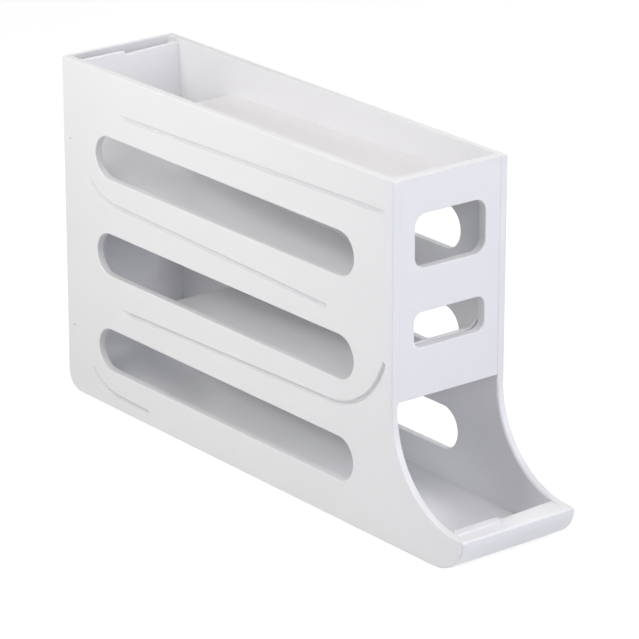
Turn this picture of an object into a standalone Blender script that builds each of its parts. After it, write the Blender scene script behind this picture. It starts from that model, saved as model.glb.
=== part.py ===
# A four-tier gravity dispenser: two side panels carry four folded ramps, a front panel with two
# windows, a back panel and a curved lip. Metres, +Z up, front towards -Y, origin under the middle.
import math

import bmesh
import bpy
from mathutils import Matrix
from mathutils.geometry import tessellate_polygon

# Overall sizes
body_width = 0.082
body_length = 0.3129
mouth_reach = 0.0617
foot_proud = 0.0005

# Walls and the clearance between seated pieces
side_wall = 0.005
front_wall = 0.0054
back_wall = 0.0026
ramp_wall = 0.0024
lip_wall = 0.0024
seat_gap = 0.0003

# Ramp heights at mid-thickness: the bottom ramp clears the lower edge, the others rise above it
bottom_clearance = 0.0014
third_rise = 0.0613
second_rise = 0.1221
top_rise = 0.1846
tray_depth = 0.0193

# Slopes of the floors
bottom_fall = math.radians(1.2)
rearward_fall = math.radians(1.3)
forward_fall = math.radians(1.6)

# Ramp bends at mid-thickness, where the upstands stand, and the drops between the tiers
rear_bend = 0.0408
front_bend = 0.0488
tray_bend = 0.006
lip_bend = 0.014
nose_bend = 0.006
nose_turn = math.radians(38)
rear_standoff = 0.0133
rear_tilt = math.radians(2.5)
front_lean = 0.0019
lip_standoff = 0.0125
rear_drop = 0.0465
front_drop = 0.0517
lower_upstand_rise = 0.1170

# Side panel outline
lip_height = 0.0221
lip_flat = 0.0016
toe_reach = 0.027
heel_curve = 0.012
mouth_flat = 0.0042
lintel_rise = 0.0038

# Side slots
slot_height = 0.0264
slot_pitch = 0.06105
lowest_slot_height = 0.0242
slot_front_inset = 0.034
slot_rear_inset = 0.033

# Front panel windows, the lower placed over the third ramp and the upper under the tray
window_width = 0.0504
lower_window_rise = 0.0428
lower_window_height = 0.0205
lower_window_corner = 0.0055
upper_window_drop = 0.003
upper_window_height = 0.0313
upper_window_corner = 0.0075

# Half-width tabs on the upstands that show at the rims
tab_drop = 0.0006
lip_tab_rise = 0.0011
tab_step = 0.0021
tab_step_end = 0.0008
upstand_bare = 0.010
tab_share = 0.44

# Wings of the third ramp's upstand, either side of the lower window
wing_overlap = 0.003
wing_setback = 0.0034
wing_curve_width = 0.0085
wing_curve_height = 0.013

# Shallow lines on the outer faces, opposite the tracks that carry the ramps
line_width = 0.003
top_line_overrun = 0.0037
bottom_line_length = 0.029
rear_line_rise = 0.0125
front_line_rise = 0.0368
front_line_bend = 0.052
front_line_lead = 0.0039

# Pegs, sockets and tongues
peg_radius = 0.0016
vent_radius = 0.0007
peg_standoff = 0.0071
lower_peg_height = 0.0426
upper_peg_height = 0.1624
lug_height = 0.012
lug_wall = 0.0024
tongue_wall = 0.0022
tongue_inset = 0.012
lip_peg_standoff = 0.0062
lip_peg_height = 0.0125

# Feet
foot_length = 0.018
foot_width = 0.0026
foot_setback = 0.0016
foot_recess = 0.0007
foot_inset = 0.014

# Rounding
outer_round = 0.0018
inner_round = 0.0006
base_round = 0.0006
slot_round = 0.0006
window_round = 0.0005
lip_round = 0.001
sheet_round = 0.0005

# Depths as shares of the wall they are cut in
track_depth_share = 0.56
line_depth_share = 0.1

# Angles that the lip and the back panel wrap round their corners, and steps to a curve
lip_wrap = 70
lip_web_wrap = 50
heel_wrap = 70
bend_steps = 12
mouth_steps = 24
lip_steps = 3
slot_steps = 10
corner_steps = 5
round_steps = 3
rod_sides = 16
sharp_angle = math.radians(35)

# Places worked out from the sizes above
back_y = (body_length + mouth_reach) / 2
lip_y = -back_y
front_y = lip_y + mouth_reach
outer_half = body_width / 2
inner_half = outer_half - side_wall
track_depth = side_wall * track_depth_share
line_depth = side_wall * line_depth_share
edge_half = inner_half + track_depth - seat_gap
sheet_half = inner_half - seat_gap
cut_over = side_wall
merge_distance = seat_gap / 30
weld_distance = seat_gap / 5
lip_curve = lip_height - lip_flat
mouth_radius = mouth_reach - mouth_flat
mouth_centre = (front_y - mouth_radius, lip_height + mouth_radius)
mouth_top = mouth_centre[1] + lintel_rise
toe_centre = (lip_y + toe_reach, lip_curve)
rear_upstand_y = back_y - rear_standoff - ramp_wall / 2
front_upstand_y = front_y + front_wall + front_lean + ramp_wall / 2
tray_upstand_y = front_y + front_wall + seat_gap + ramp_wall / 2
lip_upstand_y = lip_y + lip_standoff + ramp_wall / 2
rear_nose_y = rear_upstand_y - ramp_wall / 2 - rear_drop
front_nose_y = front_y + front_wall + front_drop
bottom_run = rear_upstand_y - rear_bend - lip_upstand_y - lip_bend
bottom_low = bottom_clearance + ramp_wall / 2
bottom_high = bottom_low + bottom_run * math.tan(bottom_fall)
third_high = bottom_high + third_rise
second_high = bottom_high + second_rise
top_high = bottom_high + top_rise
rim_height = top_high + tray_depth
lower_sill = third_high + lower_window_rise
lower_head = lower_sill + lower_window_height
wing_top = lower_head + wing_overlap
upper_head = top_high - upper_window_drop
upper_sill = upper_head - upper_window_height
tab_x = -sheet_half + 2 * sheet_half * tab_share


def remove_everything():
    for old in list(bpy.data.objects):
        bpy.data.objects.remove(old, do_unlink=True)


def new_collection(name):
    group = bpy.data.collections.new(name)
    bpy.context.scene.collection.children.link(group)
    return group


def plastic(name, colour, roughness):
    material = bpy.data.materials.new(name)
    material.use_nodes = True
    shader = material.node_tree.nodes["Principled BSDF"]
    shader.inputs["Base Color"].default_value = colour
    shader.inputs["Roughness"].default_value = roughness
    shader.inputs["Metallic"].default_value = 0.0
    return material


def part(name, mesh, colour, roughness):
    """A piece of the dispenser, with a material of its own."""
    mesh.name = name
    item = bpy.data.objects.new(name, mesh)
    parts.objects.link(item)
    item.parent = frame
    item.data.materials.append(plastic(name, colour, roughness))
    return item


def tool(name, *solids):
    """A hidden solid, or several that don't touch, that cuts or completes a piece."""
    shape = bmesh.new()
    for solid in solids:
        shape.from_mesh(solid)
        bpy.data.meshes.remove(solid)
    mesh = bpy.data.meshes.new(name)
    shape.to_mesh(mesh)
    shape.free()
    item = bpy.data.objects.new(name, mesh)
    tools.objects.link(item)
    item.parent = frame
    item.hide_render = True
    item.display_type = "WIRE"
    return item


def oval_arc(centre, across, up, start, end, steps):
    """Points on an oval with these two radii between two angles in degrees, both ends included."""
    points = []
    for step in range(steps + 1):
        angle = math.radians(start + (end - start) * step / steps)
        points.append((centre[0] + across * math.cos(angle), centre[1] + up * math.sin(angle)))
    return points


def arc(centre, radius, start, end, steps):
    return oval_arc(centre, radius, radius, start, end, steps)


def rounded_box(low, high, corner, steps):
    """A closed outline with round corners, anticlockwise from the lower right corner."""
    (a, b), (c, d) = low, high
    points = arc((c - corner, b + corner), corner, -90, 0, steps)
    points += arc((c - corner, d - corner), corner, 0, 90, steps)
    points += arc((a + corner, d - corner), corner, 90, 180, steps)
    points += arc((a + corner, b + corner), corner, 180, 270, steps)
    pairs = zip(points, points[-1:] + points)
    return [point for point, before in pairs if math.dist(point, before) > merge_distance]


def loft(sections, axis):
    """A closed solid through matching sections: each is a level and its rings, the outline first."""
    shape = bmesh.new()
    rows = []
    for level, rings in sections:
        rows.append([[shape.verts.new((u, v, level)) for u, v in ring] for ring in rings])
    for near_row, far_row in zip(rows, rows[1:]):
        for near, far in zip(near_row, far_row):
            for corners in zip(near, near[1:] + near[:1], far[1:] + far[:1], far):
                shape.faces.new(corners)
    for row in (rows[0], rows[-1]):
        flat = [vert for ring in row for vert in ring]
        for triangle in tessellate_polygon([[vert.co for vert in ring] for ring in row]):
            shape.faces.new([flat[index] for index in triangle])
    turns = {
        "X": Matrix(((0, 0, 1), (1, 0, 0), (0, 1, 0))),
        "Y": Matrix(((1, 0, 0), (0, 0, 1), (0, 1, 0))),
        "Z": Matrix.Identity(3),
    }
    shape.transform(turns[axis].to_4x4())
    bmesh.ops.recalc_face_normals(shape, faces=shape.faces)
    mesh = bpy.data.meshes.new("loft")
    shape.to_mesh(mesh)
    shape.free()
    return mesh


def plate(outline, low, high, axis):
    """An outline extruded from low to high along an axis."""
    return loft([(low, [outline]), (high, [outline])], axis)


def rounding(radius):
    """Pairs of inset and depth that turn a face's edge round, from the face to the wall."""
    pairs = []
    for step in range(round_steps + 1):
        angle = math.pi / 2 * step / round_steps
        pairs.append((radius * (1 - math.sin(angle)), radius * (1 - math.cos(angle))))
    return pairs


def block(low, high):
    shape = bmesh.new()
    bmesh.ops.create_cube(shape, size=1)
    size = [b - a for a, b in zip(low, high)]
    middle = [(a + b) / 2 for a, b in zip(low, high)]
    bmesh.ops.scale(shape, vec=size, verts=shape.verts)
    bmesh.ops.translate(shape, vec=middle, verts=shape.verts)
    mesh = bpy.data.meshes.new("block")
    shape.to_mesh(mesh)
    shape.free()
    return mesh


def rod(radius, low_x, high_x, y, z):
    """A round rod along X."""
    shape = bmesh.new()
    bmesh.ops.create_cone(
        shape, cap_ends=True, segments=rod_sides, radius1=radius, radius2=radius, depth=high_x - low_x
    )
    bmesh.ops.rotate(shape, verts=shape.verts, matrix=Matrix.Rotation(math.pi / 2, 3, "Y"))
    bmesh.ops.translate(shape, vec=((low_x + high_x) / 2, y, z), verts=shape.verts)
    mesh = bpy.data.meshes.new("rod")
    shape.to_mesh(mesh)
    shape.free()
    return mesh


def heading(start, end):
    """Direction from one point to the next."""
    length = math.dist(start, end)
    return [(b - a) / length for a, b in zip(start, end)]


def band(line, thickness):
    """The closed outline of a strip of even thickness along a line."""
    headings = [heading(*pair) for pair in zip(line, line[1:])]
    left = []
    right = []
    for (y, z), back, ahead in zip(line, headings[:1] + headings, headings + headings[-1:]):
        across = (-back[1] - ahead[1], back[0] + ahead[0])
        reach = thickness / math.hypot(*across) ** 2
        left.append((y + across[0] * reach, z + across[1] * reach))
        right.append((y - across[0] * reach, z - across[1] * reach))
    return left + right[::-1]


def cut(item, cutter):
    step = item.modifiers.new(cutter.name, "BOOLEAN")
    step.operation = "DIFFERENCE"
    step.solver = "EXACT"
    step.object = cutter


def join(item, addition):
    step = item.modifiers.new(addition.name, "BOOLEAN")
    step.operation = "UNION"
    step.solver = "EXACT"
    step.object = addition


def weld(item):
    """Closes the hair-thin faces that a cut can leave."""
    step = item.modifiers.new("weld", "WELD")
    step.merge_threshold = weld_distance


def round_sharp(item, width, segments):
    bevel = item.modifiers.new("rounding", "BEVEL")
    bevel.limit_method = "ANGLE"
    bevel.angle_limit = sharp_angle
    bevel.width = width
    bevel.segments = segments


def shade(item):
    item.data.shade_smooth()
    item.data.set_sharp_from_angle(angle=sharp_angle)


def bend_centre(side, upstand_y, bend, high, fall):
    """Centre of the bend between an upstand and the floor that falls away from it."""
    return (upstand_y - side * bend, high + bend / math.cos(fall))


def upstand_and_bend(side, upstand_y, bend, high, fall, top):
    """Points from an upstand's top round its bend. side is +1 at the back and -1 at the front."""
    centre_y, centre_z = bend_centre(side, upstand_y, bend, high, fall)
    points = []
    first = 0
    if top > centre_z + merge_distance:
        points.append((upstand_y, top))
    else:
        first = math.degrees(math.asin((top - centre_z) / bend))
    turn = arc((0, centre_z), bend, first, math.degrees(fall) - 90, bend_steps)
    return points + [(centre_y + side * reach, z) for reach, z in turn]


def floor_point(side, upstand_y, bend, high, fall, y):
    return (y, high + side * (y - upstand_y + side * bend) * math.tan(fall))


def nose(side, fall, end):
    """The rounded free end of a floor, turned down, with its tip at the end's y."""
    end_y, floor_z = end
    run = nose_bend * (math.sin(fall + nose_turn) - math.sin(fall))
    start_z = floor_z + run * math.tan(fall)
    centre_y = end_y + side * (run + nose_bend * math.sin(fall))
    centre_z = start_z - nose_bend * math.cos(fall)
    points = []
    for step in range(corner_steps + 1):
        angle = fall + nose_turn * step / corner_steps
        along = side * nose_bend * math.sin(angle)
        points.append((centre_y - along, centre_z + nose_bend * math.cos(angle)))
    return points


def ramp_line(side, upstand_y, bend, high, fall, top, nose_y):
    """A ramp's mid-thickness line: upstand, bend, floor and nose."""
    points = upstand_and_bend(side, upstand_y, bend, high, fall, top)
    end = floor_point(side, upstand_y, bend, high, fall, nose_y)
    return points + nose(side, fall, end)


def bottom_line(rear_top, front_top):
    """The bottom ramp's line, from its rear upstand to the one behind the lip."""
    points = upstand_and_bend(1, rear_upstand_y, rear_bend, bottom_high, bottom_fall, rear_top)
    centre = (lip_upstand_y + lip_bend, bottom_low + lip_bend / math.cos(bottom_fall))
    last = -180
    if front_top < centre[1]:
        last = -180 - math.degrees(math.asin((front_top - centre[1]) / lip_bend))
    points += arc(centre, lip_bend, math.degrees(bottom_fall) - 90, last, bend_steps)
    if front_top > centre[1] + merge_distance:
        points.append((lip_upstand_y, front_top))
    return points


def stretched(line, extra):
    """The line with both ends moved out along their own directions."""
    first = heading(line[1], line[0])
    last = heading(line[-2], line[-1])
    start = [a + b * extra for a, b in zip(line[0], first)]
    end = [a + b * extra for a, b in zip(line[-1], last)]
    return [tuple(start)] + line[1:-1] + [tuple(end)]


def side_outline(inset, flush):
    """The side panel's outline, moved in by inset on its free edges and by flush where pieces lie level.

    The lower and back edges are moved by the base rounding at most.
    """
    free, held = [arc(mouth_centre, mouth_radius + moved, 0, -90, mouth_steps) for moved in (inset, flush)]
    points = [(front_y + flush, rim_height - inset), (front_y + flush, mouth_top)]
    points += free[:-lip_steps] + held[-lip_steps:]
    points.append((lip_y + flush, lip_height - flush))
    base = min(flush, base_round)
    heel = (back_y - heel_curve, heel_curve)
    points += oval_arc(toe_centre, toe_reach - flush, lip_curve - base, 180, 270, bend_steps)
    points += arc(heel, heel_curve - base, -90, 0, slot_steps)
    points.append((back_y - base, rim_height - inset))
    return points


def slot_outlines(inset):
    """The three slots, made larger all round by the inset."""
    outlines = []
    for tier in range(3):
        low = lowest_slot_height + tier * slot_pitch
        first = (front_y + slot_front_inset - inset, low - inset)
        last = (back_y - slot_rear_inset + inset, low + slot_height + inset)
        outlines.append(rounded_box(first, last, slot_height / 2 + inset, slot_steps))
    return outlines


def tilted(line):
    """A rear ramp's line with its upstand leaning back above the bend."""
    (y, top), (_, foot) = line[:2]
    return [(y + (top - foot) * math.tan(rear_tilt), top)] + line[1:]


def ramp_lines():
    """Each ramp's name, its line, and the line of its edges in the tracks."""
    tray_top = rim_height - tab_drop
    rear = (1, rear_upstand_y, rear_bend)
    second = rear + (second_high, forward_fall)
    third = (-1, front_upstand_y, front_bend, third_high, rearward_fall)
    top = (-1, tray_upstand_y, tray_bend, top_high, rearward_fall)
    held_top = rim_height - upstand_bare
    lower_top = bottom_high + lower_upstand_rise
    lip_top = lip_height + lip_tab_rise
    lip_held_top = lip_height - upstand_bare
    third_line = ramp_line(*third, wing_top, rear_nose_y)
    return {
        "top_ramp": [ramp_line(*top, high, rear_nose_y) for high in (tray_top, held_top)],
        "second_ramp": [tilted(ramp_line(*second, high, front_nose_y)) for high in (tray_top, held_top)],
        "third_ramp": [third_line, third_line],
        "bottom_ramp": [bottom_line(lower_top, high) for high in (lip_top, lip_held_top)],
    }


def outer_lines():
    """The shallow lines' centre lines, each opposite its ramp. The third's bend is a wider one."""
    front_line_y = front_upstand_y - front_line_lead
    top = (-1, tray_upstand_y, tray_bend, top_high, rearward_fall)
    second = (1, rear_upstand_y, rear_bend, second_high, forward_fall)
    third = (-1, front_line_y, front_line_bend, third_high, rearward_fall)
    bottom = (1, rear_upstand_y, rear_bend, bottom_high, bottom_fall)
    line_end_y = rear_nose_y + top_line_overrun
    bottom_end_y = rear_upstand_y - rear_bend - bottom_line_length
    return [
        [floor_point(*top, tray_upstand_y), floor_point(*top, line_end_y)],
        upstand_and_bend(*second, second_high + rear_line_rise) + [floor_point(*second, front_nose_y)],
        upstand_and_bend(*third, third_high + front_line_rise) + [floor_point(*third, line_end_y)],
        upstand_and_bend(*bottom, bottom_high + rear_line_rise) + [floor_point(*bottom, bottom_end_y)],
    ]


def track_solids(side):
    """The tracks' spaces: each ramp's edge line, wider and longer by the clearance."""
    low, high = span(side, inner_half - cut_over, inner_half + track_depth)
    thickness = ramp_wall + 2 * seat_gap
    lines = [stretched(held, seat_gap) for _, held in ramp_lines().values()]
    return [plate(band(line, thickness), low, high, "X") for line in lines]


def line_solids(side):
    """The shallow lines' spaces on the outer face."""
    low, high = span(side, outer_half - line_depth, outer_half + cut_over)
    return [plate(band(line, line_width), low, high, "X") for line in outer_lines()]


def peg_places():
    """Where the back panel's and the lip's pegs enter the side panels."""
    return {
        "lower_peg": (back_y - peg_standoff, lower_peg_height),
        "upper_peg": (back_y - peg_standoff, upper_peg_height),
        "lip_peg": (lip_y + lip_peg_standoff, lip_peg_height),
    }


def span(side, near, far):
    """A low and a high x from two distances on one side of the middle."""
    return (near, far) if side > 0 else (-far, -near)


def socket_solids(side):
    low, high = span(side, inner_half - cut_over, inner_half + track_depth)
    return [rod(peg_radius + seat_gap, low, high, y, z) for y, z in peg_places().values()]


def vent_solids(side):
    """Small holes through to the outer face, behind the back panel's pegs."""
    low, high = span(side, inner_half, outer_half + cut_over)
    places = [place for name, place in peg_places().items() if name != "lip_peg"]
    return [rod(vent_radius, low, high, y, z) for y, z in places]


def tongue_box(side, extra):
    """The front panel's edge tongue, or the groove for it when extra is the clearance."""
    low, high = span(side, sheet_half - tongue_wall, edge_half + extra)
    middle = front_y + front_wall / 2
    half = tongue_wall / 2 + extra
    bottom = mouth_top + tongue_inset - extra
    top = rim_height - tongue_inset + extra
    return block((low, middle - half, bottom), (high, middle + half, top))


def foot_middles():
    front = lip_y + toe_reach + foot_inset + foot_length / 2
    rear = back_y - heel_curve - foot_inset - foot_length / 2
    return {"front": front, "back": rear}


def foot_mesh(side, y, extra, bottom, top):
    x = side * (outer_half - foot_setback - foot_width / 2)
    half_width = foot_width / 2 + extra
    half_length = foot_length / 2 + extra
    low, high = (x - half_width, y - half_length), (x + half_width, y + half_length)
    return plate(rounded_box(low, high, half_width, corner_steps), bottom, top, "Z")


def side_panel(side, label):
    sections = []
    for (inset, depth), (slot_inset, _) in zip(rounding(outer_round), rounding(slot_round)):
        rings = [side_outline(inset, inset)] + slot_outlines(slot_inset)
        sections.append((side * (outer_half - depth), rings))
    for inset, depth in reversed(rounding(inner_round)):
        sections.append((side * (inner_half + depth), [side_outline(inset, 0)] + slot_outlines(inset)))
    item = part(label[1:] + "_side_panel", loft(sections, "X"), white, 0.3)
    groove = tongue_box(side, seat_gap)
    recesses = [foot_mesh(side, y, seat_gap, -cut_over, foot_recess) for y in foot_middles().values()]
    cut(item, tool("inner_cuts" + label, groove, *track_solids(side), *socket_solids(side)))
    cut(item, tool("outer_cuts" + label, *recesses, *line_solids(side), *vent_solids(side)))
    weld(item)
    shade(item)


def front_rings(inset):
    """The front panel's outline and windows, moved by the inset except along the sides."""
    left, right = -sheet_half, sheet_half
    low, high = mouth_top + inset, rim_height - inset
    rings = [[(left, low), (right, low), (right, high), (left, high)]]
    half = window_width / 2 + inset
    for sill, head, corner in (
        (lower_sill, lower_head, lower_window_corner),
        (upper_sill, upper_head, upper_window_corner),
    ):
        first, last = (-half, sill - inset), (half, head + inset)
        rings.append(rounded_box(first, last, corner + inset, corner_steps))
    return rings


def front_panel():
    sections = [(front_y + depth, front_rings(inset)) for inset, depth in rounding(window_round)]
    sections.append((front_y + front_wall, front_rings(0)))
    item = part("front_panel", loft(sections, "Y"), white, 0.3)
    join(item, tool("tongue_left", tongue_box(-1, 0)))
    join(item, tool("tongue_right", tongue_box(1, 0)))
    shade(item)


def add_peg(item, side, name, y, z, root):
    low, high = span(side, root, edge_half)
    join(item, tool(name, rod(peg_radius, low, high, y, z)))


def back_panel():
    inner = heel_curve - back_wall
    centre = (back_y - heel_curve, heel_curve)
    corner = (back_y - window_round, rim_height - window_round)
    outline = [(back_y - back_wall, rim_height)]
    outline += arc(corner, window_round, 90, 0, round_steps)
    outline += arc(centre, heel_curve, 0, -heel_wrap, slot_steps)
    outline += arc(centre, inner, -heel_wrap, 0, slot_steps)
    item = part("back_panel", plate(outline, -sheet_half, sheet_half, "X"), white, 0.3)
    for side, label in sides:
        for name, (y, z) in peg_places().items():
            if name == "lip_peg":
                continue
            low, high = span(side, sheet_half - lug_wall, sheet_half)
            bottom = (low, y - 2 * peg_radius, z - lug_height / 2)
            top = (high, back_y - back_wall / 2, z + lug_height / 2)
            join(item, tool(name + "_lug" + label, block(bottom, top)))
            add_peg(item, side, name + label, y, z, sheet_half - lug_wall / 2)
    shade(item)


def front_lip():
    corner = (lip_y + lip_round, lip_height - lip_round)
    ledge_back = lip_upstand_y - ramp_wall / 2 - seat_gap
    ledge_low = lip_height - lip_wall
    inner = lip_curve - lip_wall
    meeting = math.degrees(math.asin(max(0, lip_curve - ledge_low) / inner))
    outline = [(ledge_back, lip_height)]
    outline += arc(corner, lip_round, 90, 180, round_steps)
    outline += oval_arc(toe_centre, toe_reach, lip_curve, 180, 180 + lip_wrap, bend_steps)
    outline += oval_arc(toe_centre, toe_reach - lip_wall, inner, 180 + lip_wrap, 180 + meeting, bend_steps)
    outline.append((ledge_back, ledge_low))
    item = part("front_lip", plate(outline, -sheet_half, sheet_half, "X"), white, 0.3)
    web = [(ledge_back, lip_height - lip_wall / 2), (lip_y + lip_wall / 2, lip_height - lip_wall / 2)]
    mid_reach, mid_curve = toe_reach - lip_wall / 2, lip_curve - lip_wall / 2
    web += oval_arc(toe_centre, mid_reach, mid_curve, 180, 180 + lip_web_wrap, bend_steps)
    web.append((ledge_back, web[-1][1]))
    for side, label in sides:
        low, high = span(side, sheet_half - lug_wall, sheet_half)
        join(item, tool("lip_web" + label, plate(web, low, high, "X")))
        y, z = peg_places()["lip_peg"]
        add_peg(item, side, "lip_peg" + label, y, z, sheet_half - lug_wall / 2)
    shade(item)


def bare_edges(item, name, y, held_top):
    """Narrows an upstand, so that only the part below the tracks' ends enters them."""
    bottom = held_top - 2 * seat_gap
    for side, label in sides:
        low, high = span(side, sheet_half, edge_half + cut_over)
        box = block((low, y - 2 * ramp_wall, bottom), (high, y + 2 * ramp_wall, rim_height + cut_over))
        cut(item, tool(name + label, box))


def half_step(item, name, y, top):
    """Lowers an upstand's right half, which leaves a tab on the left half."""
    right = sheet_half + cut_over
    high = top + cut_over
    outline = [(tab_x, top - tab_step), (right, top - tab_step_end), (right, high), (tab_x, high)]
    cut(item, tool(name, plate(outline, y - 2 * ramp_wall, y + 2 * ramp_wall, "Y")))


def window_notch(item):
    """Opens the third ramp's upstand behind the lower window, which leaves a wing at each side."""
    half = window_width / 2 + wing_setback
    corner = (half - wing_curve_width, lower_sill - seat_gap + wing_curve_height)
    right = oval_arc(corner, wing_curve_width, wing_curve_height, -90, 0, slot_steps)
    right.append((half, wing_top + cut_over))
    outline = right + [(-x, z) for x, z in reversed(right)]
    low, high = front_upstand_y - 2 * ramp_wall, front_upstand_y + 2 * ramp_wall
    cut(item, tool("window_notch", plate(outline, low, high, "Y")))


def ramps():
    for name, (line, _) in ramp_lines().items():
        item = part(name, plate(band(line, ramp_wall), -edge_half, edge_half, "X"), white, 0.32)
        if name == "top_ramp":
            bare_edges(item, "tray_bare", tray_upstand_y, rim_height - upstand_bare)
            half_step(item, "tray_step", tray_upstand_y, rim_height - tab_drop)
        if name == "second_ramp":
            bare_edges(item, "rear_bare", rear_upstand_y, rim_height - upstand_bare)
            half_step(item, "rear_step", rear_upstand_y, rim_height - tab_drop)
        if name == "third_ramp":
            window_notch(item)
        if name == "bottom_ramp":
            bare_edges(item, "lip_bare", lip_upstand_y, lip_height - upstand_bare)
            half_step(item, "lip_step", lip_upstand_y, lip_height + lip_tab_rise)
        round_sharp(item, sheet_round, 1)
        shade(item)


def feet():
    for side, label in sides:
        for end, y in foot_middles().items():
            mesh = foot_mesh(side, y, 0, -foot_proud, foot_recess - seat_gap)
            shade(part("foot_" + end + label, mesh, soft_grey, 0.6))


white = (0.86, 0.86, 0.875, 1.0)
soft_grey = (0.62, 0.62, 0.63, 1.0)
sides = ((-1, "_left"), (1, "_right"))

remove_everything()
parts = new_collection("rolling_egg_dispenser")
tools = new_collection("cutters")
frame = bpy.data.objects.new("frame", None)
parts.objects.link(frame)
frame.location = (0, 0, foot_proud)

for side, label in sides:
    side_panel(side, label)
front_panel()
back_panel()
front_lip()
ramps()
feet()
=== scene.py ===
"""Looks of a four-tier gravity dispenser in satin white plastic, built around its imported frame.

Profiles lie in the (y, z) plane, with z measured from the side panels' lower edge, and run along X.
"""
import math

import bmesh
import bpy
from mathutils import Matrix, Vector
from mathutils.geometry import delaunay_2d_cdt


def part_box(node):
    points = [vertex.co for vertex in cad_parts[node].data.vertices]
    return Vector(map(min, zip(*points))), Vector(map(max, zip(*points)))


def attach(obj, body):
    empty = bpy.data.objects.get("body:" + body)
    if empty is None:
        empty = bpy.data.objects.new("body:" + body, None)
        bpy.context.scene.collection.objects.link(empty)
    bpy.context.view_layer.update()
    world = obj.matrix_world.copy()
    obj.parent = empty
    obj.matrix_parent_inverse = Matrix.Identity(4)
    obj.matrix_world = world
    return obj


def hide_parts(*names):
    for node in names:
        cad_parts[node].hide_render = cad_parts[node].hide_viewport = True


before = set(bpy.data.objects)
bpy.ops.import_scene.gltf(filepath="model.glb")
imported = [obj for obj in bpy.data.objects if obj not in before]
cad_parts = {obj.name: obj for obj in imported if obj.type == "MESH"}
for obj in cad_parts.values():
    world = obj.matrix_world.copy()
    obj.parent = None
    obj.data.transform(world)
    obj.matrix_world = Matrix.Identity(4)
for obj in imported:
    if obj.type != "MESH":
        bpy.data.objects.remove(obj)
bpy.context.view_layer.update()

# Sizes read from the frame
panel_low, panel_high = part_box("left_side_panel")
front_low, front_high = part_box("front_panel")
lip_low, lip_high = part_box("front_lip")
outer_half = -panel_low.x
inner_half = -panel_high.x
base_height = panel_low.z
rim_height = panel_high.z - base_height
lip_y = panel_low.y
back_y = panel_high.y
front_y = front_low.y
front_wall = front_high.y - front_y
mouth_top = front_low.z - base_height
lip_height = lip_high.z - base_height
mouth_reach = front_y - lip_y

# Walls of the thinner pieces
back_wall = 0.0026
ramp_wall = 0.0024
lip_wall = 0.0024

# Ramp heights at mid-thickness, slopes and bends
bottom_clearance = 0.0014
third_rise = 0.0613
second_rise = 0.1221
tray_depth = 0.0193
bottom_fall = math.radians(1.2)
rearward_fall = math.radians(1.3)
forward_fall = math.radians(1.6)
rear_bend = 0.0408
front_bend = 0.0488
tray_bend = 0.006
lip_bend = 0.014
nose_bend = 0.006
nose_turn = math.radians(38)
rear_standoff = 0.0133
rear_tilt = math.radians(2.5)
front_lean = 0.0019
tray_gap = 0.0003
lip_standoff = 0.0125
rear_drop = 0.0465
front_drop = 0.0517
lower_upstand_rise = 0.1170

# Side panel outline and slots
lip_flat = 0.0016
toe_reach = 0.027
heel_curve = 0.012
mouth_flat = 0.0042
slot_tiers = 3
slot_height = 0.0264
slot_pitch = 0.06105
lowest_slot_height = 0.0242
slot_front_inset = 0.034
slot_rear_inset = 0.033

# Front panel windows
window_width = 0.0504
lower_window_rise = 0.0428
lower_window_height = 0.0205
lower_window_corner = 0.0055
upper_window_drop = 0.003
upper_window_height = 0.0313
upper_window_corner = 0.0075

# Tabs on the upstands that show at the rims, and the notch behind the lower window
tab_drop = 0.0006
lip_tab_rise = 0.0011
lip_tab_depth = 0.0064
lip_tab_corner = 0.0008
lip_tab_end = 0.0022
tab_step = 0.0021
tab_step_end = 0.0008
tab_share = 0.44
tab_blend = 0.0008
wing_overlap = 0.003
wing_setback = 0.0034
wing_curve_width = 0.0085
wing_curve_height = 0.013
wing_edge = 0.0004

# Narrow lines pressed into the outer faces
line_half_width = 0.0015
line_depth = 0.0026
line_fade = 0.0035
line_spacing = 0.0025

# Stations at a line's round end, and across a line: place from upper edge to lower edge, and depth
line_end_share = (0.03, 0.15, 0.35, 0.6, 0.85, 1.0)
line_profile_share = (
    (-1.0, 0.0),
    (-0.95, 0.12),
    (-0.88, 0.5),
    (-0.82, 1.0),
    (0.25, 1.0),
    (0.5, 0.72),
    (0.75, 0.3),
    (1.0, 0.0),
)

# Where the lines end and how the bends in them run
top_line_overrun = 0.0037
bottom_line_length = 0.029
rear_line_rise = 0.0125
front_line_rise = 0.0368
front_line_bend = 0.052
front_line_lead = 0.0039

# Vent holes behind the back panel's pegs, and the lugs that carry those pegs
vent_radius = 0.0007
vent_lip = 0.0003
vent_depth = 0.0022
peg_standoff = 0.0071
lower_peg_height = 0.0426
upper_peg_height = 0.1624
lug_height = 0.012
lug_depth = 0.0058
lug_wall = 0.0024
lug_corner = 0.0009

# Rounding, and the chamfer along the lip
edge_round = 0.0008
corner_round = 0.001
inner_round = 0.0005
mouth_round = 0.0016
seam_round = 0.0004
lip_chamfer = 0.0009
base_round = 0.0006
sheet_round = 0.0008

# How far sheets run into the side panels, a hairline, and the least gap between two points
sheet_sink = 0.0003
hair = 0.00005
point_gap = hair / 5

# How far round the lip and the back panel's lower end run, in degrees
lip_wrap = 70
heel_wrap = 70

# Steps to a curve
round_steps = 5
corner_steps = 8
slot_steps = 20
mouth_steps = 56
lip_steps = 8
toe_steps = 24
bend_steps = 28
nose_steps = 8
strip_points = 64
cap_steps = 4
blend_steps = 6
vent_sides = 20
sharp_angle = math.radians(35)

# Flat faces are filled in millimetres, which keeps close points apart
millimetres = 1000
fill_margin = 0.00001
TRIANGLES_INSIDE = 1

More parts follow.
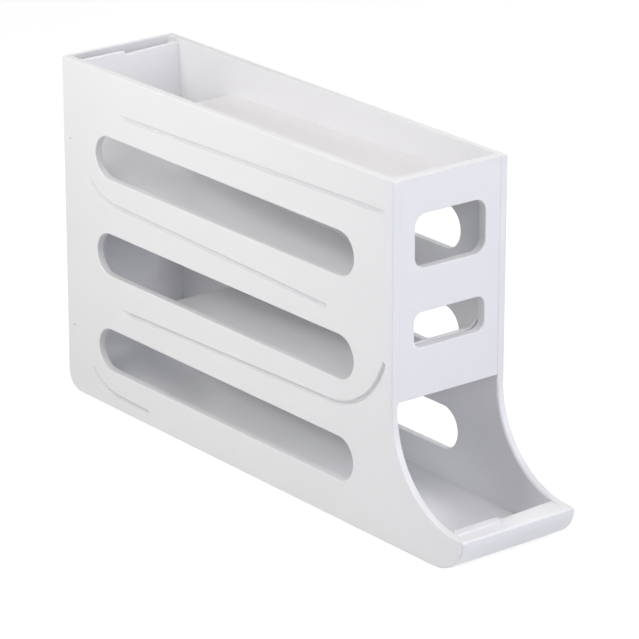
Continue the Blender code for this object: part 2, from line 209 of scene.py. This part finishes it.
# Places worked out from the sizes above
lip_curve = lip_height - lip_flat
mouth_radius = mouth_reach - mouth_flat
mouth_centre = (front_y - mouth_radius, lip_height + mouth_radius)
toe_centre = (lip_y + toe_reach, lip_curve)
rear_upstand_y = back_y - rear_standoff - ramp_wall / 2
front_upstand_y = front_y + front_wall + front_lean + ramp_wall / 2
tray_upstand_y = front_y + front_wall + tray_gap + ramp_wall / 2
lip_upstand_y = lip_y + lip_standoff + ramp_wall / 2
rear_nose_y = rear_upstand_y - ramp_wall / 2 - rear_drop
front_nose_y = front_y + front_wall + front_drop
bottom_run = rear_upstand_y - rear_bend - lip_upstand_y - lip_bend
bottom_low = bottom_clearance + ramp_wall / 2
bottom_high = bottom_low + bottom_run * math.tan(bottom_fall)
third_high = bottom_high + third_rise
second_high = bottom_high + second_rise
top_high = rim_height - tray_depth
lower_sill = third_high + lower_window_rise
lower_head = lower_sill + lower_window_height
wing_top = lower_head + wing_overlap
upper_head = top_high - upper_window_drop
upper_sill = upper_head - upper_window_height
ramp_half = inner_half + sheet_sink
tab_x = -inner_half + 2 * inner_half * tab_share

# Tiers: side of the upstand (+1 at the back, -1 at the front), its place, bend, floor and fall
top_tier = (-1, tray_upstand_y, tray_bend, top_high, rearward_fall)
second_tier = (1, rear_upstand_y, rear_bend, second_high, forward_fall)
third_tier = (-1, front_upstand_y, front_bend, third_high, rearward_fall)
bottom_tier = (1, rear_upstand_y, rear_bend, bottom_high, bottom_fall)

# Plastic and rubber: colour, a faint darker shade, roughness and how far the roughness varies
white_look = ((0.86, 0.862, 0.875, 1), (0.845, 0.846, 0.86, 1), 0.32, 0.04)
pad_look = ((0.6, 0.6, 0.61, 1), (0.55, 0.55, 0.56, 1), 0.75, 0.06)

# Surface noise: scale per metre and level of detail, and the strength and height of each relief
tone_noise = (18, 3)
polish_noise = (45, 4)
peel_noise = (170, 1)
grain_noise = (1900, 2)
peel_relief = (0.35, 0.00003)
grain_relief = (0.3, 0.00001)
noise_low = 0.3
noise_high = 0.7
face_area_weight = 100

# Camera: place above the side panels' lower edge, turn in degrees, lens and sensor in millimetres
camera_place = (-1.271658, -1.612832, 0.840804)
camera_turn = (69.8848, -0.0559, -38.4062)
camera_lens = 212.25
camera_sensor = 36
camera_reach = 20

# Studio: a white backdrop, a weak ambient light and a pale floor whose glow lifts it to white
white = (1, 1, 1, 1)
ambient_colour = (0.98, 0.985, 1.0, 1.0)
ambient_strength = 0.12
floor_colour = (0.7, 0.7, 0.7, 1)
floor_roughness = 0.9
floor_specular = 0.1
floor_glow = 0.72
floor_radius = 4
floor_sides = 96

# Soft lamps: place, width and height, watts and colour. All of them point at the object's middle.
lamp_aim = Vector((0, 0, rim_height / 2))
lamps = (
    ("key", (-0.45, 0.15, 0.5), (0.3, 0.3), 1.67, (1.0, 0.97, 0.95)),
    ("side", (-0.9, 0.2, 0.3), (0.6, 0.4), 1.53, (0.99, 1.0, 0.98)),
    ("front", (0.1, -1.8, 1.3), (1.4, 1.0), 9.0, (0.91, 0.92, 1.0)),
    ("front_left", (-0.35, -0.55, 0.4), (0.25, 0.25), 0.49, (0.83, 0.89, 1.0)),
    ("front_right", (1.2, -1.4, 1.2), (1.2, 1.0), 1.39, (0.93, 0.92, 1.0)),
    ("low_right", (0.9, -1.6, 0.5), (1.0, 0.8), 7.98, (0.84, 0.89, 1.0)),
    ("rear_right", (1.5, 0.9, 1.0), (1.2, 1.0), 2.9, (0.95, 1.0, 0.98)),
    ("top", (0.0, -0.2, 1.8), (1.4, 1.4), 2.6, (1.0, 0.87, 0.8)),
    ("top_front", (0.0, -0.5, 1.0), (0.4, 0.4), 1.6, (1.0, 0.93, 0.9)),
    ("edge", (0.9, -0.85, 1.15), (0.3, 0.3), 2.1, (1.0, 0.99, 0.97)),
)


def oval_arc(centre, across, up, start, end, steps):
    """Points on an oval with these two radii between two angles in degrees, both ends included."""
    points = []
    for step in range(steps + 1):
        angle = math.radians(start + (end - start) * step / steps)
        points.append((centre[0] + across * math.cos(angle), centre[1] + up * math.sin(angle)))
    return points


def arc(centre, radius, start, end, steps):
    return oval_arc(centre, radius, radius, start, end, steps)


def rounded_box(low, high, corner, steps):
    """A closed outline with round corners, anticlockwise from the lower right corner."""
    (a, b), (c, d) = low, high
    points = arc((c - corner, b + corner), corner, -90, 0, steps)
    points += arc((c - corner, d - corner), corner, 0, 90, steps)
    points += arc((a + corner, d - corner), corner, 90, 180, steps)
    points += arc((a + corner, b + corner), corner, 180, 270, steps)
    pairs = zip(points, points[-1:] + points)
    return [point for point, before in pairs if math.dist(point, before) > point_gap]


def inset_at(radius, depth):
    """How far a rounded edge lies inside its wall at a depth under the face."""
    return radius - math.sqrt(max(radius**2 - max(radius - depth, 0) ** 2, 0))


def rounding(radius):
    """Pairs of inset and depth that turn a face's edge round, from the face to the wall."""
    pairs = []
    for step in range(round_steps + 1):
        angle = math.pi / 2 * step / round_steps
        pairs.append((radius * (1 - math.sin(angle)), radius * (1 - math.cos(angle))))
    return pairs


def heading(start, end):
    """Direction from one point to the next."""
    length = math.dist(start, end)
    return tuple((b - a) / length for a, b in zip(start, end))


def moved(point, direction, distance):
    return tuple(a + b * distance for a, b in zip(point, direction))


def left_of(direction):
    return (-direction[1], direction[0])


def stations(line, distances):
    """Points and headings at these distances along a line."""
    found = []
    travelled, segments = 0.0, list(zip(line, line[1:]))
    for distance in distances:
        while len(segments) > 1 and travelled + math.dist(*segments[0]) < distance:
            travelled += math.dist(*segments[0])
            segments.pop(0)
        start, end = segments[0]
        along = heading(start, end)
        found.append((moved(start, along, distance - travelled), along))
    return found


def line_length(line):
    return sum(math.dist(*pair) for pair in zip(line, line[1:]))


def resampled(line, start, count):
    """The line from a distance along it to its end, as evenly spaced points."""
    length = line_length(line)
    distances = [start + (length - start) * step / (count - 1) for step in range(count)]
    return [point for point, _ in stations(line, distances)]


def band(line, thickness):
    """The two edges of a strip of even thickness along a line, both in the line's direction."""
    headings = [heading(*pair) for pair in zip(line, line[1:])]
    left = []
    right = []
    for (y, z), back, ahead in zip(line, headings[:1] + headings, headings + headings[-1:]):
        across = (-back[1] - ahead[1], back[0] + ahead[0])
        reach = thickness / math.hypot(*across) ** 2
        left.append((y + across[0] * reach, z + across[1] * reach))
        right.append((y - across[0] * reach, z - across[1] * reach))
    return left, right


def end_cap(point, along, thickness, corner):
    """Round corners of a strip's end, from its left edge to its right edge."""
    across = left_of(along)
    points = []
    for side, angles in ((1, range(1, cap_steps + 1)), (-1, range(cap_steps, 0, -1))):
        centre = moved(point, across, side * (thickness / 2 - corner))
        for step in angles:
            angle = math.pi / 2 * step / cap_steps
            place = moved(centre, across, side * corner * math.cos(angle))
            points.append(moved(place, along, corner * math.sin(angle)))
    return points


def strip(line, thickness, corner):
    """The closed outline of a strip with rounded ends, whose line stops a corner short of each."""
    left, right = band(line, thickness)
    first = heading(line[1], line[0])
    last = heading(line[-2], line[-1])
    outline = left + end_cap(line[-1], last, thickness, corner)
    return outline + right[::-1] + end_cap(line[0], first, thickness, corner)


def add_ring(shape, outline, level, axis):
    """A ring of vertices from an outline in the plane across the X or the Y axis."""
    if axis == "X":
        return [shape.verts.new((level, y, z)) for y, z in outline]
    return [shape.verts.new((x, level, z)) for x, z in outline]


def bridge(shape, near, far):
    for corners in zip(near, near[1:] + near[:1], far[1:] + far[:1], far):
        shape.faces.new(corners)


def fill(shape, rings, axis):
    """A flat face across an axis, inside the first ring and outside the others."""
    verts = [vert for ring in rings for vert in ring]
    plane = [index for index in range(3) if index != "XYZ".index(axis)]
    points = [Vector([vert.co[index] * millimetres for index in plane]) for vert in verts]
    outlines = []
    first = 0
    for ring in rings:
        outline = list(range(first, first + len(ring)))
        turns = zip(outline, outline[1:] + outline[:1])
        if sum(points[near].cross(points[far]) for near, far in turns) < 0:
            outline.reverse()
        outlines.append(outline)
        first += len(ring)
    found = delaunay_2d_cdt(points, [], outlines, TRIANGLES_INSIDE, fill_margin)
    _, _, triangles, sources, _, outlines_round = found
    for triangle, inside in zip(triangles, outlines_round):
        if inside == [0]:
            shape.faces.new([verts[sources[index][0]] for index in triangle])


def loft(shape, sections, axis, close=True):
    """Walls through matching sections, each a level and its rings, and flat faces at both ends."""
    rows = [[add_ring(shape, ring, level, axis) for ring in rings] for level, rings in sections]
    for near_row, far_row in zip(rows, rows[1:]):
        for near, far in zip(near_row, far_row):
            bridge(shape, near, far)
    if close:
        fill(shape, rows[0], axis)
        fill(shape, rows[-1], axis)
    return rows


def piece(name, shape, node, material):
    """Turns a shape into the piece that stands for a node of the frame."""
    bmesh.ops.recalc_face_normals(shape, faces=shape.faces)
    bmesh.ops.translate(shape, vec=(0, 0, base_height), verts=shape.verts)
    mesh = bpy.data.meshes.new(name)
    shape.to_mesh(mesh)
    shape.free()
    mesh.shade_smooth()
    mesh.set_sharp_from_angle(angle=sharp_angle)
    item = bpy.data.objects.new(name, mesh)
    bpy.context.scene.collection.objects.link(item)
    even = item.modifiers.new("even_shading", "WEIGHTED_NORMAL")
    even.mode = "FACE_AREA"
    even.weight = face_area_weight
    even.keep_sharp = True
    mesh.materials.append(material)
    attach(item, "root")
    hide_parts(node)


def moulded_plastic(name, colour, shade, roughness, roughness_spread):
    """Satin moulded plastic: faint tone variation, uneven polish, orange peel and a fine grain."""
    material = bpy.data.materials.new(name)
    material.use_nodes = True
    nodes, links = material.node_tree.nodes, material.node_tree.links
    shader = nodes["Principled BSDF"]
    place = nodes.new("ShaderNodeTexCoord")

    def noise(look):
        scale, detail = look
        texture = nodes.new("ShaderNodeTexNoise")
        texture.inputs["Scale"].default_value = scale
        texture.inputs["Detail"].default_value = detail
        links.new(place.outputs["Object"], texture.inputs["Vector"])
        return texture.outputs["Fac"]

    def spread(value, low, high):
        remap = nodes.new("ShaderNodeMapRange")
        remap.inputs["From Min"].default_value = noise_low
        remap.inputs["From Max"].default_value = noise_high
        remap.inputs["To Min"].default_value = low
        remap.inputs["To Max"].default_value = high
        links.new(value, remap.inputs["Value"])
        return remap.outputs["Result"]

    def relief(height, look):
        bump = nodes.new("ShaderNodeBump")
        bump.inputs["Strength"].default_value, bump.inputs["Distance"].default_value = look
        links.new(height, bump.inputs["Height"])
        return bump

    tone = nodes.new("ShaderNodeMix")
    tone.data_type = "RGBA"
    tone.inputs["A"].default_value = colour
    tone.inputs["B"].default_value = shade
    links.new(spread(noise(tone_noise), 0, 1), tone.inputs["Factor"])
    links.new(tone.outputs["Result"], shader.inputs["Base Color"])

    rougher, smoother = roughness + roughness_spread, roughness - roughness_spread
    links.new(spread(noise(polish_noise), smoother, rougher), shader.inputs["Roughness"])

    peel = relief(noise(peel_noise), peel_relief)
    grain = relief(noise(grain_noise), grain_relief)
    links.new(peel.outputs["Normal"], grain.inputs["Normal"])
    links.new(grain.outputs["Normal"], shader.inputs["Normal"])
    return material


def lip_edge(inset):
    """The chamfer along the ledge's front edge, moved in by the inset."""
    reach = lip_chamfer + inset * (math.sqrt(2) - 1)
    return [(lip_y + reach, lip_height - inset), (lip_y + inset, lip_height - reach)]


def side_outline(inset, flush, mouth):
    """The side panel's outline, moved in by three insets.

    inset is for the rim, mouth for the mouth's curve and flush for where other pieces meet it.
    """
    top_corner = (front_y + corner_round, rim_height - corner_round)
    points = arc(top_corner, corner_round - flush, 90, 180, corner_steps)
    points.append((front_y + flush, mouth_top))
    free = arc(mouth_centre, mouth_radius + mouth, 0, -90, mouth_steps)
    held = arc(mouth_centre, mouth_radius + flush, 0, -90, mouth_steps)
    points += free[:-lip_steps] + held[-lip_steps:]
    points += lip_edge(flush)
    base = min(flush, base_round)
    heel = (back_y - heel_curve, heel_curve)
    points += oval_arc(toe_centre, toe_reach - flush, lip_curve - base, 180, 270, toe_steps)
    points += arc(heel, heel_curve - base, -90, 0, toe_steps)
    back_corner = (back_y - corner_round, rim_height - corner_round)
    points += oval_arc(back_corner, corner_round - base, corner_round - flush, 0, 90, corner_steps)
    points.append((back_y - back_wall, rim_height - flush))
    points.append((back_y - back_wall - hair, rim_height - inset))
    points.append((front_y + front_wall + hair, rim_height - inset))
    points.append((front_y + front_wall, rim_height - flush))
    return points


def slot_outlines(inset):
    """The three slots, made larger all round by the inset."""
    outlines = []
    for tier in range(slot_tiers):
        low = lowest_slot_height + tier * slot_pitch
        first = (front_y + slot_front_inset - inset, low - inset)
        last = (back_y - slot_rear_inset + inset, low + slot_height + inset)
        outlines.append(rounded_box(first, last, slot_height / 2 + inset, slot_steps))
    return outlines


def bend_line(side, upstand_y, bend, high, fall, top):
    """Points from an upstand's top round its bend."""
    centre_y = upstand_y - side * bend
    centre_z = high + bend / math.cos(fall)
    points = []
    first = 0
    if top > centre_z + hair:
        points.append((upstand_y, top))
    else:
        first = math.degrees(math.asin((top - centre_z) / bend))
    turn = arc((0, centre_z), bend, first, math.degrees(fall) - 90, bend_steps)
    return points + [(centre_y + side * reach, z) for reach, z in turn]


def floor_point(side, upstand_y, bend, high, fall, y):
    return (y, high + side * (y - upstand_y + side * bend) * math.tan(fall))


def nose(side, fall, end):
    """The rounded free end of a floor, turned down, a rounding short of its tip."""
    end_y, floor_z = end
    run = nose_bend * (math.sin(fall + nose_turn) - math.sin(fall))
    start_z = floor_z + run * math.tan(fall)
    centre_y = end_y + side * (run + nose_bend * math.sin(fall))
    centre_z = start_z - nose_bend * math.cos(fall)
    points = []
    for step in range(nose_steps + 1):
        angle = fall + nose_turn * step / nose_steps
        along = side * nose_bend * math.sin(angle)
        points.append((centre_y - along, centre_z + nose_bend * math.cos(angle)))
    return points


def ramp_line(side, upstand_y, bend, high, fall, top, nose_y, tilt=0):
    """A ramp's mid-thickness line with the same number of points for any height of its upstand.

    The upstand leans back above its bend by the tilt.
    """
    upstand = bend_line(side, upstand_y, bend, high, fall, top)
    upstand[0] = (upstand[0][0] + (top - upstand[1][1]) * math.tan(tilt), top)
    end = floor_point(side, upstand_y, bend, high, fall, nose_y)
    return resampled(upstand, sheet_round, strip_points) + nose(side, fall, end)


def bottom_line(rear_top, front_top):
    """The bottom ramp's line, from its rear upstand to the one behind the lip."""
    rear = bend_line(*bottom_tier, rear_top)
    centre = (lip_upstand_y + lip_bend, bottom_low + lip_bend / math.cos(bottom_fall))
    last = -180
    if front_top < centre[1]:
        last = -180 - math.degrees(math.asin((front_top - centre[1]) / lip_bend))
    front = arc(centre, lip_bend, last, math.degrees(bottom_fall) - 90, bend_steps)
    if front_top > centre[1] + hair:
        front.insert(0, (lip_upstand_y, front_top))
    front = resampled(front, sheet_round, strip_points)
    return resampled(rear, sheet_round, strip_points) + front[::-1]


def outer_lines():
    """The pressed lines' centre lines, and on which side of each its upper edge lies."""
    front_line_y = front_upstand_y - front_line_lead
    front_line = (-1, front_line_y, front_line_bend, third_high, rearward_fall)
    rear_end_y = rear_nose_y + top_line_overrun
    bottom_end_y = rear_upstand_y - rear_bend - bottom_line_length
    second_bend = bend_line(*second_tier, second_high + rear_line_rise)
    third_bend = bend_line(*front_line, third_high + front_line_rise)
    bottom_bend = bend_line(*bottom_tier, bottom_high + rear_line_rise)
    return [
        ([floor_point(*top_tier, tray_upstand_y), floor_point(*top_tier, rear_end_y)], 1),
        (second_bend + [floor_point(*second_tier, front_nose_y)], -1),
        (third_bend + [floor_point(*front_line, rear_end_y)], 1),
        (bottom_bend + [floor_point(*bottom_tier, bottom_end_y)], -1),
    ]


def ease(value):
    """Smooth step from 0 to 1."""
    value = min(max(value, 0), 1)
    return value * value * (3 - 2 * value)


def groove(shape, side, line, upper):
    """A line pressed into the outer face, steepest along its upper edge. Returns its border."""
    length = line_length(line)
    ends = [share * line_half_width for share in line_end_share]
    count = math.ceil((length - 2 * line_half_width) / line_spacing)
    run = length - 2 * line_half_width
    middle = [line_half_width + run * step / count for step in range(1, count)]
    distances = ends + middle + [length - end for end in reversed(ends)]
    rows = []
    for distance, (point, along) in zip(distances, stations(line, distances)):
        from_end = min(distance, length - distance)
        narrowing = min(from_end / line_half_width, 1)
        half = line_half_width * math.sqrt(1 - (1 - narrowing) ** 2)
        depth = line_depth * ease(from_end / line_fade)
        across = left_of(along)
        row = []
        for place, share in line_profile_share:
            y, z = moved(point, across, -upper * place * half)
            row.append(shape.verts.new((side * (outer_half - depth * share), y, z)))
        rows.append(row)
    for near, far in zip(rows, rows[1:]):
        for corners in zip(near, near[1:], far[1:], far):
            shape.faces.new(corners)
    lower = [row[-1] for row in rows[1:-1]]
    higher = [row[0] for row in rows[1:-1]]
    return rows[0] + lower + rows[-1][::-1] + higher[::-1]


def vent(shape, side, y, z):
    """A small hole with a rounded mouth. Returns its border."""
    rings = []
    for inset, depth in rounding(vent_lip):
        circle = arc((y, z), vent_radius + inset, 0, 360, vent_sides)[:-1]
        rings.append(add_ring(shape, circle, side * (outer_half - depth), "X"))
    circle = arc((y, z), vent_radius, 0, 360, vent_sides)[:-1]
    rings.append(add_ring(shape, circle, side * (outer_half - vent_depth), "X"))
    for near, far in zip(rings, rings[1:]):
        bridge(shape, near, far)
    fill(shape, rings[-1:], "X")
    return rings[0]


def side_panel(side, node, material):
    shape = bmesh.new()
    sections = []
    for inset, depth in rounding(edge_round):
        rings = [side_outline(inset, inset, inset)] + slot_outlines(inset)
        sections.append((side * (outer_half - depth), rings))
    for mouth, depth in reversed(rounding(mouth_round)):
        inset = inset_at(inner_round, depth)
        rings = [side_outline(inset, 0, mouth)] + slot_outlines(inset)
        sections.append((side * (inner_half + depth), rings))
    rows = loft(shape, sections, "X", close=False)
    borders = [groove(shape, side, line, upper) for line, upper in outer_lines()]
    for height in (lower_peg_height, upper_peg_height):
        borders.append(vent(shape, side, back_y - peg_standoff, height))
    fill(shape, rows[0] + borders, "X")
    fill(shape, rows[-1], "X")
    piece(node + "_shell", shape, node, material)


def front_rings(inset, seam):
    """The front panel's outline and windows, moved by the inset, and its sides by the seam."""
    low, high, side = mouth_top + inset, rim_height - inset, inner_half - seam
    rings = [[(-side, low), (side, low), (side, high), (-side, high)]]
    half = window_width / 2 + inset
    for sill, head, corner in (
        (lower_sill, lower_head, lower_window_corner),
        (upper_sill, upper_head, upper_window_corner),
    ):
        first, last = (-half, sill - inset), (half, head + inset)
        rings.append(rounded_box(first, last, corner + inset, corner_steps))
    return rings


def front_panel(material):
    shape = bmesh.new()
    sections = []
    for inset, depth in rounding(edge_round):
        sections.append((front_y + depth, front_rings(inset, inset_at(seam_round, depth))))
    back = front_y + front_wall
    for inset, depth in reversed(rounding(inner_round)):
        sections.append((back - depth, front_rings(inset, 0)))
    loft(shape, sections, "Y")
    piece("front_panel_shell", shape, "front_panel", material)


def back_panel(material):
    shape = bmesh.new()
    heel = (back_y - heel_curve, heel_curve)
    outer_corner = (back_y - corner_round, rim_height - corner_round)
    inner_corner = (back_y - back_wall + inner_round, rim_height - inner_round)
    outline = arc(inner_corner, inner_round, 180, 90, corner_steps)
    outline += arc(outer_corner, corner_round, 90, 0, corner_steps)
    outline += arc(heel, heel_curve, 0, -heel_wrap, toe_steps)
    outline += arc(heel, heel_curve - back_wall, -heel_wrap, 0, toe_steps)
    loft(shape, [(-inner_half, [outline]), (inner_half, [outline])], "X")
    for height in (lower_peg_height, upper_peg_height):
        low = (back_y - peg_standoff - lug_depth / 2, height - lug_height / 2)
        high = (back_y - back_wall / 2, height + lug_height / 2)
        lug = rounded_box(low, high, lug_corner, corner_steps)
        for side in (-1, 1):
            inner = side * (inner_half - lug_wall)
            loft(shape, [(inner, [lug]), (side * inner_half, [lug])], "X")
    piece("back_panel_shell", shape, "back_panel", material)


def front_lip(material):
    shape = bmesh.new()
    ledge_back = lip_upstand_y - ramp_wall / 2 - tray_gap
    ledge_low = lip_height - lip_wall
    inner = lip_curve - lip_wall
    meeting = math.degrees(math.asin((lip_curve - ledge_low) / inner))
    outline = [(ledge_back, lip_height)] + lip_edge(0)
    first, last = 180 + lip_wrap, 180 + meeting
    outline += oval_arc(toe_centre, toe_reach, lip_curve, 180, first, toe_steps)
    outline += oval_arc(toe_centre, toe_reach - lip_wall, inner, first, last, toe_steps)
    outline.append((ledge_back, ledge_low))
    loft(shape, [(-inner_half, [outline]), (inner_half, [outline])], "X")
    piece("front_lip_shell", shape, "front_lip", material)


def tab_tops(top):
    """Stations across an upstand whose left half stands taller as a tab, with a soft step down."""
    tops = [(-ramp_half, top), (tab_x - tab_blend, top)]
    for step in range(1, blend_steps):
        share = step / blend_steps
        tops.append((tab_x + tab_blend * (2 * share - 1), top - tab_step * ease(share)))
    return tops + [(tab_x + tab_blend, top - tab_step), (ramp_half, top - tab_step_end)]


def window_tops():
    """Stations across the third ramp's upstand: a wing at each side of the lower window."""
    half = window_width / 2 + wing_setback
    corner = (half - wing_curve_width, lower_sill + wing_curve_height - tray_gap)
    curve = oval_arc(corner, wing_curve_width, wing_curve_height, -90, 0, bend_steps)
    right = curve + [(half + wing_edge, wing_top), (ramp_half, wing_top)]
    return [(-x, z) for x, z in reversed(right)] + right


def ramp(node, lines, material):
    """A folded ramp from its line at each station across it."""
    shape = bmesh.new()
    sections = [(x, [strip(line, ramp_wall, sheet_round)]) for x, line in lines]
    loft(shape, sections, "X")
    piece(node + "_sheet", shape, node, material)


def lip_tab(material):
    """The broad, rounded tab that the bottom ramp lays on the left half of the ledge."""
    shape = bmesh.new()
    back = lip_upstand_y + ramp_wall / 2 + hair
    front = back - lip_tab_depth
    low, high = lip_height - lip_wall / 2, lip_height + lip_tab_rise + hair
    sections = [(-ramp_half, [rounded_box((front, low), (back, high), lip_tab_corner, cap_steps)])]
    for pull, depth in reversed(rounding(lip_tab_end)):
        ring = rounded_box((front + pull, low), (back, high), lip_tab_corner, cap_steps)
        sections.append((tab_x - depth, [ring]))
    loft(shape, sections, "X")
    piece("lip_tab", shape, "bottom_ramp", material)


def ramps(material):
    rim_tops = tab_tops(rim_height - tab_drop)
    lip_tops = tab_tops(lip_height + lip_tab_rise)
    lower_top = bottom_high + lower_upstand_rise
    rear_tip = rear_nose_y - sheet_round
    front_tip = front_nose_y + sheet_round
    lines = {
        "top_ramp": [(x, ramp_line(*top_tier, z, rear_tip)) for x, z in rim_tops],
        "second_ramp": [(x, ramp_line(*second_tier, z, front_tip, rear_tilt)) for x, z in rim_tops],
        "third_ramp": [(x, ramp_line(*third_tier, z, rear_tip)) for x, z in window_tops()],
        "bottom_ramp": [(x, bottom_line(lower_top, z)) for x, z in lip_tops],
    }
    for node, stations_across in lines.items():
        ramp(node, stations_across, material)


def camera():
    view = bpy.data.cameras.new("camera")
    item = bpy.data.objects.new("camera", view)
    bpy.context.scene.collection.objects.link(item)
    x, y, z = camera_place
    item.location = (x, y, z + base_height)
    item.rotation_euler = [math.radians(turn) for turn in camera_turn]
    view.lens = camera_lens
    view.sensor_width = camera_sensor
    view.clip_end = camera_reach
    bpy.context.scene.camera = item


def softbox(name, place, size, power, colour):
    lamp = bpy.data.lights.new(name, "AREA")
    lamp.shape = "RECTANGLE"
    lamp.size, lamp.size_y = size
    lamp.energy = power
    lamp.color = colour
    item = bpy.data.objects.new(name, lamp)
    bpy.context.scene.collection.objects.link(item)
    item.location = place
    item.rotation_euler = (lamp_aim - Vector(place)).to_track_quat("-Z", "Y").to_euler()


def seen_directly(nodes, links):
    """1 where the camera, a reflection or a refraction looks, and 0 for the light on surfaces."""
    path = nodes.new("ShaderNodeLightPath")
    total = path.outputs["Is Camera Ray"]
    for kind in ("Is Glossy Ray", "Is Transmission Ray"):
        either = nodes.new("ShaderNodeMath")
        either.operation = "MAXIMUM"
        links.new(total, either.inputs[0])
        links.new(path.outputs[kind], either.inputs[1])
        total = either.outputs[0]
    return total


def studio_world():
    world = bpy.data.worlds.new("studio")
    bpy.context.scene.world = world
    world.use_nodes = True
    nodes, links = world.node_tree.nodes, world.node_tree.links
    ambient = nodes["Background"]
    ambient.inputs["Color"].default_value = ambient_colour
    ambient.inputs["Strength"].default_value = ambient_strength
    backdrop = nodes.new("ShaderNodeBackground")
    backdrop.inputs["Color"].default_value = white
    backdrop.inputs["Strength"].default_value = 1
    choice = nodes.new("ShaderNodeMixShader")
    links.new(seen_directly(nodes, links), choice.inputs["Fac"])
    links.new(ambient.outputs[0], choice.inputs[1])
    links.new(backdrop.outputs[0], choice.inputs[2])
    links.new(choice.outputs[0], nodes["World Output"].inputs["Surface"])


def studio_floor():
    """A pale floor that reads as white to the camera and keeps a soft shadow under the object."""
    shape = bmesh.new()
    bmesh.ops.create_circle(shape, cap_ends=True, segments=floor_sides, radius=floor_radius)
    mesh = bpy.data.meshes.new("floor")
    shape.to_mesh(mesh)
    shape.free()
    floor = bpy.data.objects.new("floor", mesh)
    bpy.context.scene.collection.objects.link(floor)
    material = bpy.data.materials.new("floor_white")
    material.use_nodes = True
    nodes, links = material.node_tree.nodes, material.node_tree.links
    shader = nodes["Principled BSDF"]
    shader.inputs["Base Color"].default_value = floor_colour
    shader.inputs["Roughness"].default_value = floor_roughness
    shader.inputs["Specular IOR Level"].default_value = floor_specular
    glow = nodes.new("ShaderNodeEmission")
    glow.inputs["Color"].default_value = white
    strength = nodes.new("ShaderNodeMath")
    strength.operation = "MULTIPLY"
    strength.inputs[1].default_value = floor_glow
    links.new(seen_directly(nodes, links), strength.inputs[0])
    links.new(strength.outputs[0], glow.inputs["Strength"])
    both = nodes.new("ShaderNodeAddShader")
    links.new(shader.outputs[0], both.inputs[0])
    links.new(glow.outputs[0], both.inputs[1])
    links.new(both.outputs[0], nodes["Material Output"].inputs["Surface"])
    mesh.materials.append(material)


def foot_pads():
    """The pads keep their solids from the frame and get a soft matt finish."""
    rubber = moulded_plastic("pad_rubber", *pad_look)
    for name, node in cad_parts.items():
        if name.startswith("foot_"):
            node.data.materials.clear()
            node.data.materials.append(rubber)


white_plastic = moulded_plastic("satin_white_plastic", *white_look)
side_panel(-1, "left_side_panel", white_plastic)
side_panel(1, "right_side_panel", white_plastic)
front_panel(white_plastic)
back_panel(white_plastic)
front_lip(white_plastic)
ramps(white_plastic)
lip_tab(white_plastic)
foot_pads()

camera()
studio_world()
studio_floor()
for lamp in lamps:
    softbox(*lamp)

bpy.context.scene.view_settings.view_transform = "Standard"
